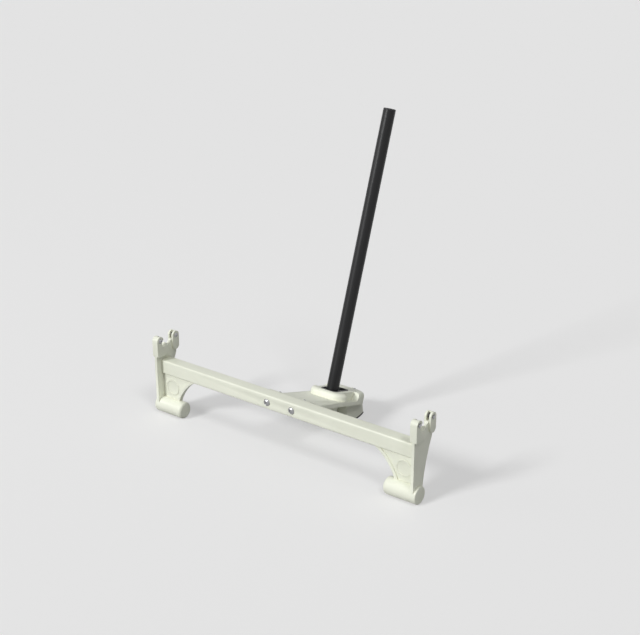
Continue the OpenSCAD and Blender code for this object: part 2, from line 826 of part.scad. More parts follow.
module rear_pad_screws() {
    color([0.6, 0.6, 0.62]) at_bar() {
        pad_screws_at(floor_z + pad_t / 2) rotate([180, 0, 0]) cylinder(d = 2 * pad_screw_d, h = pad_t / 4);
        pad_screws_at(floor_z + pad_t / 2 - join) cylinder(d = pad_screw_d - 2 * join, h = pad_t / 2 + tail_t);
    }
}

left_end_casting();
right_end_casting();
cross_beam();
left_front_roller();
left_rear_roller();
right_front_roller();
right_rear_roller();
left_front_axle();
left_rear_axle();
right_front_axle();
right_rear_axle();
left_axle_nuts();
right_axle_nuts();
tail_casting();
beam_bolts();
beam_bolt_sleeves();
beam_bolt_washers();
beam_bolt_nuts();
pocket_liner();
clamp_screw();
clamp_screw_nut();
pole();
pole_top_cap();
pole_bottom_plug();
rear_pad();
rear_pad_screws();
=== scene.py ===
"""Looks of the deadlift jack: enamelled castings, cross beam, black pole and bright fasteners."""

import json
import math

import bmesh
import bpy
from mathutils import Matrix, Vector

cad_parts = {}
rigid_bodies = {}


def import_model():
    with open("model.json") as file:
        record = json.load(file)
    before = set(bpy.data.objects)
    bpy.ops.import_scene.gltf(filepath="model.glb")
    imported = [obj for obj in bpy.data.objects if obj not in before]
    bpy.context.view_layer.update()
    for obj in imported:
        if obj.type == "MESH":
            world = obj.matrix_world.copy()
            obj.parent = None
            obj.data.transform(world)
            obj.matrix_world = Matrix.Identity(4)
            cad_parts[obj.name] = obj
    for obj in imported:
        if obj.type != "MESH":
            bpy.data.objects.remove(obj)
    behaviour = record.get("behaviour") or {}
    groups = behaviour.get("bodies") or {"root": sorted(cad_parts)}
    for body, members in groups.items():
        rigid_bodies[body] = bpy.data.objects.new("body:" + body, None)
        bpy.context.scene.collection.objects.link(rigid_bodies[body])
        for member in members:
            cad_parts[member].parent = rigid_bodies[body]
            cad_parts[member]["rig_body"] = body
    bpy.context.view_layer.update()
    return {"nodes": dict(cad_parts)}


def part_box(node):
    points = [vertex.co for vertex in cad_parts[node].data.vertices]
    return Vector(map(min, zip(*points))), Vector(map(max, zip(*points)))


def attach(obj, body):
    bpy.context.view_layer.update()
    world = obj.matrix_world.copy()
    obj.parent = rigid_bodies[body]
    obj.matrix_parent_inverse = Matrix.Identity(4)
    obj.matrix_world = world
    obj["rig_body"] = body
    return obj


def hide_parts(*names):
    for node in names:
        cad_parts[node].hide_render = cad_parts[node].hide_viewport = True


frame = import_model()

bl_info = {
    "name": "Deadlift jack",
    "version": (1, 0, 0),
    "blender": (4, 5, 0),
    "location": "View3D > Sidebar > Deadlift jack",
    "description": "Builds the visible pieces of a deadlift jack round its fixed frame",
    "category": "Add Mesh",
}

MM = 0.001
NODES = frame["nodes"]

# Small forms of the turned pieces, in millimetres
SOFT = 0.4             # softened edge of a turned piece
BREAK = 0.3            # edge of a bolt's head and of a plug's rim
POINT = 1.0            # chamfer at the tip of a bolt
DOME_SHARE = 0.7       # share of a domed head's height that is round
KEY_LAND = 0.5         # flat ring round the corners of a key socket
KEY_LIFT = 0.01        # rim of a key socket's floor above half the head's height
FIT_GAP = 0.05         # between a shank and the bore round it
WASHER_GAP = 0.5       # between a bolt's shank and its washer
THREAD_GAP = 0.02      # between a threaded shank and its nut, on each of them
FINE = 0.6             # pitch of the axle bolts' threads as a share of the large one
FINEST = 0.5           # pitch of the pad screws' threads as a share of the large one
HEX_BREAK = 0.2        # height of the chamfer on the flats of a hexagon
HEX_FACE = 0.35        # from a hexagon's flats in to its level face
HEX_SEAM = 0.02        # from a hexagon's flats in to the turned ring that they start as
HEX_RISE = 0.55        # slope of the chamfer over the corners of a hexagon
HEAD_BREAK = 0.25      # height of the chamfer on a hexagon head
HEAD_FACE = 0.5        # from a hexagon head's flats in to its level face
NUT_MOUTH = 0.8        # chamfer of a nut's bore
RING_STEPS = 72        # sides of a turned piece

# Suns of the stage: name, direction, spread in degrees and strength
SUNS = (
    ("key_light", (1.0, 2.8, -1.9), 14, 2.1),
    ("side_light", (-1.4, 0.7, -2.2), 16, 0.75))
FLOOR_LIT = 0.34       # shade of the floor that lights the object
FLOOR_SEEN = 0.8       # shade of the floor that is seen
FLOOR_GLOW = 0.38      # share of plain white in the floor that is seen
SKY_LIT = 0.2          # shade of the backdrop that lights the object
SKY_SEEN = 0.79        # shade of the backdrop that is seen

# Softbox of the stage: place, aim, width in metres and power in watts
SOFTBOX = ((-2.6, -2.2, 2.0), (0, 0, 0.4), 1.6, 6)


# Geometry helpers

def middle_of(node):
    low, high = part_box(node)
    return (low + high) / 2


def sides_of(node):
    """Sides of a node's box along X, Y and Z, in millimetres."""
    low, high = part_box(node)
    return [(b - a) / MM for a, b in zip(low, high)]


def sharp_edges(bm, degrees):
    """Edges whose two faces meet at more than the given angle."""
    limit = math.radians(degrees)
    return [e for e in bm.edges if len(e.link_faces) == 2 and e.calc_face_angle(0) > limit]


def as_object(bm, name, smooth_degrees=40):
    """Turns a bmesh into an object at the origin, smooth apart from its sharp edges."""
    bmesh.ops.recalc_face_normals(bm, faces=bm.faces)
    limit = math.radians(smooth_degrees)
    for face in bm.faces:
        face.smooth = True
    for edge in bm.edges:
        edge.smooth = len(edge.link_faces) == 2 and edge.calc_face_angle(0) <= limit
    mesh = bpy.data.meshes.new(name)
    bm.to_mesh(mesh)
    bm.free()
    piece = bpy.data.objects.new(name, mesh)
    bpy.context.scene.collection.objects.link(piece)
    return piece


def merged_copy(node):
    """A clean copy of a CAD node's mesh, with its triangles joined into whole faces."""
    bm = bmesh.new()
    bm.from_mesh(NODES[node].data)
    bmesh.ops.remove_doubles(bm, verts=bm.verts, dist=0.00001)
    bmesh.ops.dissolve_limit(
        bm, angle_limit=math.radians(1.0), use_dissolve_boundaries=False,
        verts=bm.verts, edges=bm.edges, delimit={"NORMAL"})
    return bm


def round_edges(bm, edges, width, segments=3):
    bmesh.ops.bevel(
        bm, geom=edges, offset=width, offset_type="OFFSET", segments=segments, profile=0.5,
        affect="EDGES", clamp_overlap=True, material=-1)


def lathe(profile):
    """A closed turned form about local Z, from (radius, height) points from axis to axis."""
    bm = bmesh.new()
    points = [bm.verts.new((r, 0, z)) for r, z in profile]
    edges = [bm.edges.new(pair) for pair in zip(points, points[1:])]
    bmesh.ops.spin(
        bm, geom=points + edges, cent=(0, 0, 0), axis=(0, 0, 1), angle=math.tau,
        steps=RING_STEPS, use_merge=True, use_duplicate=False)
    bmesh.ops.remove_doubles(bm, verts=bm.verts, dist=0.000001)
    bmesh.ops.recalc_face_normals(bm, faces=bm.faces)
    return bm


def ring(profile):
    """A turned ring about local Z, from a closed outline of (radius, height) points."""
    return lathe(list(profile) + [profile[0]])


def in_mm(profile):
    """Points in millimetres, turned into metres."""
    return [(r * MM, z * MM) for r, z in profile]


def arc(centre, radius, start, end, steps=6):
    """Points on a circle between two angles in degrees."""
    angles = [math.radians(start + (end - start) * i / steps) for i in range(steps + 1)]
    return [(centre[0] + radius * math.cos(a), centre[1] + radius * math.sin(a)) for a in angles]


def ridges(r, low, high, pitch):
    """Outline of a thread between two heights, with its crests at radius r."""
    count = int((high - low) / pitch)
    points = []
    for i in range(count):
        points += [(r, low + i * pitch), (r - pitch * 0.5, low + (i + 0.5) * pitch)]
    return points + [(r, low + count * pitch)]


def to_hexagon(bm, spots):
    """Moves turned vertices out to a hexagon. A spot is (radius, height, flats, rise) in mm."""
    for vert in bm.verts:
        r, z = vert.co.xy.length / MM, vert.co.z / MM
        for spot_r, spot_z, flats, rise in spots:
            if abs(r - spot_r) > 0.001 or abs(z - spot_z) > 0.001:
                continue
            angle = math.atan2(vert.co.y, vert.co.x)
            turn = (angle + math.pi / 6) % (math.pi / 3) - math.pi / 6
            reach = flats / 2 / math.cos(turn)
            vert.co.x *= reach / r
            vert.co.y *= reach / r
            vert.co.z += rise * (reach - flats / 2) * MM
            break


def domed_bolt(head_d, head_h, key, shank_d, shank_l, thread_l, pitch):
    """Bolt about local Z, its domed head with a key socket above z = 0. Sizes in millimetres."""
    r, neck, tip = head_d / 2, shank_d / 2, -shank_l
    rise = head_h * DOME_SHARE
    ball = (r * r + rise * rise) / (2 * rise)
    outer = r - BREAK
    inner = key / 2 / math.cos(math.pi / 6) + KEY_LAND
    steps = 8
    dome = []
    for i in range(steps + 1):
        at = outer + (inner - outer) * i / steps
        dome.append((at, head_h - ball + math.sqrt(ball * ball - at * at)))
    mouth, floor = dome[-1][1] - SOFT, head_h / 2 + KEY_LIFT
    profile = [(0, tip), (neck - POINT, tip)] + ridges(neck, tip + POINT, tip + thread_l, pitch)
    profile += [(neck, 0), (r - SOFT, 0), (r, SOFT), (r, head_h - rise - BREAK)] + dome
    profile += [(key / 2, mouth), (key / 2, floor), (0, head_h / 2 - SOFT)]
    bm = lathe(in_mm(profile))
    to_hexagon(bm, [(key / 2, mouth, key, 0), (key / 2, floor, key, 0)])
    return bm


def hexagon_nut(flats, height, bore):
    """Chamfered nut about local Z, standing on z = 0. Sizes in millimetres."""
    face, edge, mouth = flats / 2 - HEX_FACE, flats / 2 - HEX_SEAM, bore + NUT_MOUTH
    bm = ring(in_mm([
        (mouth, 0), (face, 0), (edge, HEX_BREAK), (edge, height - HEX_BREAK), (face, height),
        (mouth, height), (bore, height - NUT_MOUTH), (bore, NUT_MOUTH)]))
    to_hexagon(bm, [
        (edge, HEX_BREAK, flats, HEX_RISE), (edge, height - HEX_BREAK, flats, -HEX_RISE)])
    return bm


def hexagon_bolt(flats, head_h, shank_d, shank_l, pitch):
    """Fully threaded bolt about local Z, its chamfered hexagon head above z = 0. Sizes in mm."""
    neck, tip, edge = shank_d / 2, -shank_l, flats / 2 - HEX_SEAM
    shoulder = head_h - HEAD_BREAK
    profile = [(0, tip), (neck - POINT, tip)] + ridges(neck, tip + POINT, -POINT, pitch)
    profile += [(neck, 0), (flats / 2 - SOFT, 0), (edge, HEX_BREAK), (edge, shoulder)]
    profile += [(flats / 2 - HEAD_FACE, head_h), (0, head_h)]
    bm = lathe(in_mm(profile))
    to_hexagon(bm, [(edge, HEX_BREAK, flats, 0), (edge, shoulder, flats, -HEX_RISE)])
    return bm


def soft_ring(outer, inner, height, soft=SOFT):
    """Washer or tube about local Z with softened edges. Sizes in millimetres."""
    return ring(in_mm([
        (inner + soft, 0), (outer - soft, 0), (outer, soft), (outer, height - soft),
        (outer - soft, height), (inner + soft, height), (inner, height - soft), (inner, soft)]))


def turn_z_to(direction, where):
    """Matrix that lays local Z along a direction and puts the origin in a place."""
    turn = Vector(direction).to_track_quat("Z", "Y").to_matrix().to_4x4()
    return Matrix.Translation(where) @ turn


def place(bm, matrix):
    bmesh.ops.transform(bm, matrix=matrix, verts=bm.verts)
    if matrix.determinant() < 0:
        bmesh.ops.reverse_faces(bm, faces=bm.faces)


def join_into(target, source):
    """Adds a bmesh to another and frees it."""
    mesh = bpy.data.meshes.new("joining")
    source.to_mesh(mesh)
    source.free()
    target.from_mesh(mesh)
    bpy.data.meshes.remove(mesh)


def stand_in_for(piece, node, finish):
    """The piece is shown in place of its CAD node, on the node's body."""
    body = NODES[node]["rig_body"]
    piece.data.materials.clear()
    piece.data.materials.append(finish)
    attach(piece, body)
    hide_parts(node)
    return piece


def dress(node, finish):
    """Gives a CAD node's own mesh a finish."""
    NODES[node].data.materials.clear()
    NODES[node].data.materials.append(finish)


# Shader helpers

class Signal:
    """A shader socket. Arithmetic on it adds Math nodes."""

    def __init__(self, nodes, socket):
        self.nodes = nodes
        self.socket = socket

    def maths(self, operation, first, second=0.0):
        return self.nodes.node("ShaderNodeMath", {"operation": operation}, {0: first, 1: second})

    def __add__(self, other):
        return self.maths("ADD", self, other)

    def __mul__(self, other):
        return self.maths("MULTIPLY", self, other)

    __radd__ = __add__
    __rmul__ = __mul__

    def larger(self, other):
        return self.maths("MAXIMUM", self, other)

    def clamped(self):
        return self.maths("MINIMUM", self.larger(0.0), 1.0)


class Nodes:
    """The node tree of a material or of the world."""

    def __init__(self, owner):
        owner.use_nodes = True
        self.tree = owner.node_tree

    def given(self, kind):
        """The node of a type that a new tree starts with."""
        return next(n for n in self.tree.nodes if n.type == kind)

    def node(self, kind, settings=None, values=None, out=0):
        """Adds a node. Its settings are set first, then the values or links of its sockets."""
        made = self.tree.nodes.new(kind)
        for name, value in (settings or {}).items():
            setattr(made, name, value)
        for key, value in (values or {}).items():
            if isinstance(value, Signal):
                self.tree.links.new(value.socket, made.inputs[key])
            else:
                made.inputs[key].default_value = value
        return Signal(self, made.outputs[out])

    def seen_ray(self):
        """1 for the rays of the camera, of reflections and of clear materials."""
        camera = self.node("ShaderNodeLightPath", out="Is Camera Ray")
        path = camera.socket.node.outputs
        glossy = Signal(self, path["Is Glossy Ray"])
        return camera.larger(glossy).larger(Signal(self, path["Is Transmission Ray"]))

    def surface(self, kind, factor, first, second):
        """Mixes two shaders into the output node."""
        mixed = self.node("ShaderNodeMixShader", None, {0: factor, 1: first, 2: second})
        self.tree.links.new(mixed.socket, self.given(kind).inputs["Surface"])


class Paint(Nodes):
    """One procedural material, drawn on object coordinates."""

    def __init__(self, name, **constants):
        self.material = bpy.data.materials.new(name)
        super().__init__(self.material)
        self.shader = self.given("BSDF_PRINCIPLED")
        for option, value in constants.items():
            socket = option.replace("_", " ").title().replace("Ior", "IOR")
            self.shader.inputs[socket].default_value = value
        self.place = self.node("ShaderNodeTexCoord", out="Object")

    def noise(self, scale, detail=3.0, roughness=0.5, stretch=(1, 1, 1)):
        where = self.node("ShaderNodeMapping", None, {"Vector": self.place, "Scale": stretch})
        return self.node("ShaderNodeTexNoise", None, {
            "Vector": where, "Scale": scale, "Detail": detail, "Roughness": roughness})

    def ramp(self, signal, low, high):
        """0 at the low value, 1 at the high one."""
        return self.node("ShaderNodeMapRange", None, {
            "Value": signal, "From Min": low, "From Max": high, "To Min": 0.0, "To Max": 1.0})

    def mix(self, factor, first, second):
        """Mixes two colours."""
        made = self.node("ShaderNodeMix", {"data_type": "RGBA"}, {0: factor}, out=2)
        sockets = made.socket.node.inputs
        for socket, value in ((sockets[6], first), (sockets[7], second)):
            if isinstance(value, Signal):
                self.tree.links.new(value.socket, socket)
            else:
                socket.default_value = (*value, 1)
        return made

    def crease(self, distance):
        """1 in open places, towards 0 deep in corners."""
        settings = {"samples": 8}
        return self.node("ShaderNodeAmbientOcclusion", settings, {"Distance": distance}, "AO")

    def bump(self, height, strength, distance, under=None):
        values = {"Height": height, "Strength": strength, "Distance": distance}
        if under is not None:
            values["Normal"] = under
        return self.node("ShaderNodeBump", None, values)

    def drive(self, socket, signal):
        self.tree.links.new(signal.socket, self.shader.inputs[socket])


def shaded(colour, amount):
    """A colour made lighter or darker."""
    return tuple(min(1, c * amount) for c in colour)


def enamel(name, colour, grain):
    """Thick pale enamel on metal: slight waves, fine grain, and painted shade darkening its
    corners and creases.
    """
    paint = Paint(
        name, roughness=0.42, coat_weight=0.05, coat_roughness=0.25, specular_ior_level=0.32)
    cloud = paint.ramp(paint.noise(9.0, 4), 0.35, 0.68)
    speck = paint.ramp(paint.noise(420.0, 2), 0.66, 0.76)
    even = paint.mix(cloud * 0.8, colour, shaded(colour, 0.93))
    # Darker tone of the enamel, used both for fine random specks and for the painted shade in the
    # corners
    shade_and_speck_tone = tuple(c * k for c, k in zip(colour, (0.66, 0.62, 0.54)))
    # Painted shade: ambient occlusion darkens the enamel deep in corners, creases and under steps,
    # where shade falls, and also makes it a little rougher there
    corner = paint.ramp(paint.crease(0.014), 0.8, 0.25)
    corner_shade = (corner * (cloud * 0.4 + 0.6)).clamped()
    paint.drive("Base Color", paint.mix(speck * 0.10, paint.mix(corner_shade * 0.75, even, shade_and_speck_tone), shade_and_speck_tone))
    paint.drive("Roughness", cloud * 0.07 + 0.4 + corner_shade * 0.15)
    wave = paint.bump(paint.noise(38.0, 2), 0.35 * grain, 0.0012)
    paint.drive("Normal", paint.bump(paint.noise(300.0, 3), 0.35 * grain, 0.0004, wave))
    return paint.material


def powder_coat(name, colour):
    """Black powder coat with its fine orange peel."""
    paint = Paint(name, roughness=0.38, specular_ior_level=0.3)
    patch = paint.ramp(paint.noise(14.0, 5, stretch=(1, 1, 0.25)), 0.4, 0.66)
    rub = paint.ramp(paint.noise(60.0, 6, 0.7, stretch=(1, 1, 0.12)), 0.56, 0.74)
    paint.drive("Base Color", paint.mix(rub * patch * 0.4, colour, shaded(colour, 2.2)))
    paint.drive("Roughness", patch * 0.08 + 0.33 + rub * 0.07)
    paint.drive("Normal", paint.bump(paint.noise(520.0, 2), 0.22, 0.0003))
    return paint.material


def zinc(name, colour):
    """Bright plated steel with faint cloudiness and fine scratches."""
    paint = Paint(name, metallic=1.0, roughness=0.34)
    cloud = paint.ramp(paint.noise(120.0, 3), 0.35, 0.65)
    scratch = paint.ramp(paint.noise(900.0, 2, stretch=(0.08, 1, 1)), 0.6, 0.72)
    paint.drive("Base Color", paint.mix(cloud, colour, shaded(colour, 0.86)))
    paint.drive("Roughness", cloud * 0.1 + 0.3 + scratch * 0.12)
    paint.drive("Normal", paint.bump(scratch, 0.12, 0.0002))
    return paint.material


def turned_nylon(name, colour):
    """Black plastic turned on a lathe: fine rings about the bar's direction."""
    paint = Paint(name, roughness=0.42)
    rings = paint.noise(260.0, 2, stretch=(6, 0.2, 0.2))
    cloud = paint.ramp(paint.noise(90.0, 3), 0.4, 0.65)
    paint.drive("Base Color", paint.mix(cloud * 0.6, colour, shaded(colour, 1.7)))
    paint.drive("Roughness", cloud * 0.12 + 0.38)
    paint.drive("Normal", paint.bump(rings, 0.2, 0.0003))
    return paint.material


def moulded(name, colour):
    """Black moulded plastic with a spark-eroded grain."""
    paint = Paint(name, roughness=0.45)
    cloud = paint.ramp(paint.noise(70.0, 3), 0.4, 0.66)
    paint.drive("Base Color", paint.mix(cloud * 0.5, colour, shaded(colour, 1.6)))
    paint.drive("Roughness", cloud * 0.1 + 0.42)
    paint.drive("Normal", paint.bump(paint.noise(700.0, 2), 0.3, 0.0002))
    return paint.material


def tread_rubber(name, colour):
    """Matt rubber, a little dusty where it meets the floor."""
    paint = Paint(name, roughness=0.8)
    dust = paint.ramp(paint.noise(55.0, 5, 0.65), 0.5, 0.72)
    paint.drive("Base Color", paint.mix(dust * 0.35, colour, shaded(colour, 3.0)))
    paint.drive("Roughness", dust * 0.12 + 0.74)
    paint.drive("Normal", paint.bump(paint.noise(480.0, 3, 0.6), 0.45, 0.0003))
    return paint.material


class Shelf:
    """The finishes, each made once from the colours in the panel."""

    made = {}

    @classmethod
    def get(cls, name):
        if name not in cls.made:
            colours = bpy.context.scene.jack_colours
            makers = {
                "casting": lambda: enamel("cream_enamel_cast", colours.enamel, 1.0),
                "beam": lambda: enamel("cream_enamel_tube", colours.enamel, 0.45),
                "pole": lambda: powder_coat("black_powder_coat", colours.pole),
                "zinc": lambda: zinc("zinc_plate", colours.steel),
                "nylon": lambda: turned_nylon("turned_nylon", colours.plastic),
                "plastic": lambda: moulded("moulded_plastic", colours.plastic),
                "rubber": lambda: tread_rubber("tread_rubber", colours.rubber),
            }
            cls.made[name] = makers[name]()
        return cls.made[name]


# Settings

class JackSizes(bpy.types.PropertyGroup):
    casting_round: bpy.props.FloatProperty(
        name="Casting edge radius", description="Rounding of the outer edges of the castings",
        default=0.0018, min=0.0005, max=0.003, unit="LENGTH")
    tube_round: bpy.props.FloatProperty(
        name="Tube edge radius", description="Rounding of the cut edges of tubes",
        default=0.0006, min=0.0002, max=0.001, unit="LENGTH")
    liner_round: bpy.props.FloatProperty(
        name="Liner edge radius", description="Rounding of the liner's edges",
        default=0.0006, unit="LENGTH")
    pad_round: bpy.props.FloatProperty(
        name="Pad edge radius", description="Rounding of the pad's edges",
        default=0.001, unit="LENGTH")
    pole_lean: bpy.props.FloatProperty(
        name="Pole lean", description="Backward lean of the pole",
        default=math.radians(18.9), subtype="ANGLE", unit="ROTATION")
    pole_wall: bpy.props.FloatProperty(
        name="Pole wall", description="Wall of the pole's tube", default=0.003, unit="LENGTH")
    cap_height: bpy.props.FloatProperty(
        name="Cap height", description="Height of the cap above the pole",
        default=0.006, unit="LENGTH")
    foot_plug_height: bpy.props.FloatProperty(
        name="Foot plug height", description="Height of the plug below the pole",
        default=0.003, unit="LENGTH")
    plug_length: bpy.props.FloatProperty(
        name="Plug length", description="Length of the plugs inside the pole",
        default=0.026, unit="LENGTH")
    thread_pitch: bpy.props.FloatProperty(
        name="Thread pitch", description="Distance between the ridges of the large threads",
        default=0.002, min=0.001, max=0.003, unit="LENGTH")
    bolt_head: bpy.props.FloatProperty(
        name="Bolt head", description="Diameter of the beam bolts' heads",
        default=0.024, unit="LENGTH")
    bolt_dome: bpy.props.FloatProperty(
        name="Bolt dome", description="Height of the beam bolts' heads",
        default=0.008, unit="LENGTH")
    bolt_key: bpy.props.FloatProperty(
        name="Bolt key", description="Width of the key socket in the beam bolts",
        default=0.010, unit="LENGTH")
    bolt_size: bpy.props.FloatProperty(
        name="Bolt size", description="Diameter of the beam bolts' shanks",
        default=0.016, unit="LENGTH")
    bolt_thread: bpy.props.FloatProperty(
        name="Bolt thread", description="Length of thread on the beam bolts",
        default=0.024, unit="LENGTH")
    axle_dome: bpy.props.FloatProperty(
        name="Axle dome", description="Height of the axle bolts' heads",
        default=0.005, unit="LENGTH")
    axle_key: bpy.props.FloatProperty(
        name="Axle key", description="Width of the key socket in the axle bolts",
        default=0.0048, unit="LENGTH")
    axle_size: bpy.props.FloatProperty(
        name="Axle size", description="Diameter of the axle bolts' shanks",
        default=0.008, unit="LENGTH")
    axle_thread: bpy.props.FloatProperty(
        name="Axle thread", description="Length of thread on the axle bolts",
        default=0.009, unit="LENGTH")
    axle_nut: bpy.props.FloatProperty(
        name="Axle nut", description="Width of the axle nuts across their flats",
        default=0.013, unit="LENGTH")
    clamp_head: bpy.props.FloatProperty(
        name="Clamp head", description="Height of the clamp screw's head and of its nut",
        default=0.008, unit="LENGTH")
    clamp_size: bpy.props.FloatProperty(
        name="Clamp size", description="Diameter of the clamp screw's shank",
        default=0.012, unit="LENGTH")
    neck_slope: bpy.props.FloatProperty(
        name="Neck slope", description="Downward slope of the tail's neck and of its clamp screw",
        default=math.radians(16.7), subtype="ANGLE", unit="ROTATION")
    pad_screw_head: bpy.props.FloatProperty(
        name="Pad screw head", description="Height of the pad screws' heads",
        default=0.0015, unit="LENGTH")
    pad_screw_size: bpy.props.FloatProperty(
        name="Pad screw size", description="Diameter of the pad screws' shanks",
        default=0.006, unit="LENGTH")
    pad_screw_recess: bpy.props.FloatProperty(
        name="Pad screw recess", description="Diameter of the recess in the pad screws' heads",
        default=0.0048, unit="LENGTH")
    lens: bpy.props.FloatProperty(
        name="Lens", description="Focal length of the view",
        default=69.13, min=20, max=200, unit="CAMERA")
    view_from: bpy.props.FloatVectorProperty(
        name="View from", description="Place of the camera",
        default=(2.26524, -3.04310, 1.88336), subtype="TRANSLATION", unit="LENGTH")
    view_azimuth: bpy.props.FloatProperty(
        name="View azimuth", description="Turn of the view about the vertical",
        default=math.radians(37.39), subtype="ANGLE", unit="ROTATION")
    view_elevation: bpy.props.FloatProperty(
        name="View elevation", description="Angle of the view above the level",
        default=math.radians(21.57), subtype="ANGLE", unit="ROTATION")


class JackColours(bpy.types.PropertyGroup):
    enamel: bpy.props.FloatVectorProperty(
        name="Enamel", description="Colour of the castings and of the beam",
        default=(0.85, 0.87, 0.745), subtype="COLOR", min=0, max=1)
    pole: bpy.props.FloatVectorProperty(
        name="Pole", description="Colour of the pole's powder coat",
        default=(0.012, 0.012, 0.013), subtype="COLOR", min=0, max=1)
    steel: bpy.props.FloatVectorProperty(
        name="Steel", description="Colour of the plated fasteners",
        default=(0.42, 0.42, 0.43), subtype="COLOR", min=0, max=1)
    plastic: bpy.props.FloatVectorProperty(
        name="Plastic", description="Colour of the rollers, the liner and the caps",
        default=(0.012, 0.012, 0.013), subtype="COLOR", min=0, max=1)
    rubber: bpy.props.FloatVectorProperty(
        name="Rubber", description="Colour of the pad", default=(0.014, 0.014, 0.014),
        subtype="COLOR", min=0, max=1)


# Pieces

def softened(node, name, width, finish, degrees=35):
    """A copy of a CAD node with its sharp edges rounded, shown in its place."""
    bm = merged_copy(node)
    round_edges(bm, sharp_edges(bm, degrees), width)
    return stand_in_for(as_object(bm, name), node, finish)


class JACK_OT_castings(bpy.types.Operator):
    """Adds the two end castings and the tail casting, with rounded edges"""
    bl_idname = "jack.castings"
    bl_label = "Castings"

    def execute(self, context):
        width = context.scene.jack_sizes.casting_round
        for node in ("left_end_casting", "right_end_casting", "tail_casting"):
            name = node.replace("casting", "enamelled_casting")
            softened(node, name, width, Shelf.get("casting"))
        return {"FINISHED"}


class JACK_OT_beam(bpy.types.Operator):
    """Adds the cross beam with the edges of its ends and holes softened"""
    bl_idname = "jack.beam"
    bl_label = "Cross beam"

    def execute(self, context):
        width = context.scene.jack_sizes.tube_round
        softened("cross_beam", "enamelled_beam", width, Shelf.get("beam"), 50)
        return {"FINISHED"}


class JACK_OT_pole(bpy.types.Operator):
    """Adds the leaning pole with its cap and its foot plug"""
    bl_idname = "jack.pole"
    bl_label = "Pole"

    def execute(self, context):
        sizes = context.scene.jack_sizes
        lean = sizes.pole_lean
        up = Vector((0, math.sin(lean), math.cos(lean)))
        low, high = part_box("pole")
        radius = (high.x - low.x) / 2
        foot = Vector((0, low.y + radius * math.cos(lean), low.z + radius * math.sin(lean)))
        length = (high.z - radius * math.sin(lean) - foot.z) / math.cos(lean)
        r = radius / MM
        bore = r - sizes.pole_wall / MM
        tube = soft_ring(r, bore, length / MM)
        self.add(tube, "powder_coated_pole", "pole", foot, up, "pole_black", "pole")
        stem = self.stem(r, bore, sizes.plug_length / MM)
        top = foot + up * length
        cap = self.cap(stem, r, sizes.cap_height / MM)
        self.add(cap, "moulded_pole_cap", "pole_top_cap", top, up, "cap_black", "plastic")
        plug = self.foot_plug(stem, r, sizes.foot_plug_height / MM)
        self.add(plug, "moulded_foot_plug", "pole_bottom_plug", foot, -up, "cap_black", "plastic")
        return {"FINISHED"}

    @staticmethod
    def stem(r, bore, length):
        """Profile of a plug from the tip of its stem to the rim that covers the tube's wall."""
        tight, taper, lead, under = bore - 0.1, 2, 1.1, 0.2
        return [
            (0, -length), (tight - lead, -length), (tight, taper - length), (tight, 0),
            (r - under, 0), (r, BREAK)]

    @staticmethod
    def cap(stem, r, height):
        """A rounded cap with a shallow dish in its top."""
        crown, land, slope, dish = 2.4, 9, 1, 0.8
        top = arc((r - crown, height - crown), crown, 0, 90)
        top += [(r - land, height), (r - land - slope, height - dish), (0, height - dish)]
        return lathe(in_mm(stem + top))

    @staticmethod
    def foot_plug(stem, r, height):
        """A flat plug with a rounded edge."""
        edge = 1
        return lathe(in_mm(stem + arc((r - edge, height - edge), edge, 0, 90) + [(0, height)]))

    def add(self, bm, name, node, where, direction, slot, finish):
        place(bm, turn_z_to(direction, where))
        stand_in_for(as_object(bm, name), node, Shelf.get(finish))


def plated(bm, name, node):
    """A fastener's bmesh, shown in place of its CAD node."""
    return stand_in_for(as_object(bm, name), node, Shelf.get("zinc"))


class JACK_OT_guides(bpy.types.Operator):
    """Adds the guide rollers with their axle bolts and nuts"""
    bl_idname = "jack.guides"
    bl_label = "Guide rollers"

    def execute(self, context):
        sizes = context.scene.jack_sizes
        bore = sizes.axle_size / 2 / MM + FIT_GAP
        for side, out in (("left", -1), ("right", 1)):
            for end in ("front", "rear"):
                self.add_roller(f"{side}_{end}_roller", bore)
                self.add_axle(f"{side}_{end}_axle", out, sizes)
            self.add_nuts(side, sizes.axle_nut / MM, bore)
        return {"FINISHED"}

    def add_roller(self, node, bore):
        """A roller with a raised hub and rim on both faces and a fine groove round its middle."""
        w, _, height = sides_of(node)
        r = height / 2
        hub, rim, wall, sink, edge, groove = 2, 2, 0.3, 0.5, 1, 0.8
        half = [
            (bore, SOFT), (bore + SOFT, 0), (bore + hub, 0), (bore + hub + wall, sink),
            (r - rim, sink), (r - rim + wall, 0), (r - edge, 0), (r, edge), (r, w / 2 - groove)]
        other = [(at, w - z) for at, z in reversed(half)]
        bm = ring(in_mm(half + [(r - groove / 2, w / 2)] + other))
        middle = middle_of(node)
        place(bm, turn_z_to((1, 0, 0), Vector((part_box(node)[0].x, middle.y, middle.z))))
        stand_in_for(as_object(bm, f"turned_{node}"), node, Shelf.get("nylon"))

    def add_axle(self, node, out, sizes):
        low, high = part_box(node)
        middle = middle_of(node)
        length, _, head_d = sides_of(node)
        dome = sizes.axle_dome / MM
        base = low.x + dome * MM if out > 0 else high.x - dome * MM
        bm = domed_bolt(
            head_d, dome, sizes.axle_key / MM, sizes.axle_size / MM, length - dome,
            sizes.axle_thread / MM, sizes.thread_pitch / MM * FINE)
        place(bm, turn_z_to((-out, 0, 0), Vector((base, middle.y, middle.z))))
        plated(bm, f"plated_{node}", node)

    def add_nuts(self, side, flats, bore):
        node = f"{side}_axle_nuts"
        bm = bmesh.new()
        for end in ("front", "rear"):
            axle = middle_of(f"{side}_{end}_axle")
            nut = hexagon_nut(flats, sides_of(node)[0], bore)
            place(nut, turn_z_to((1, 0, 0), Vector((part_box(node)[0].x, axle.y, axle.z))))
            join_into(bm, nut)
        plated(bm, f"plated_{node}", node)


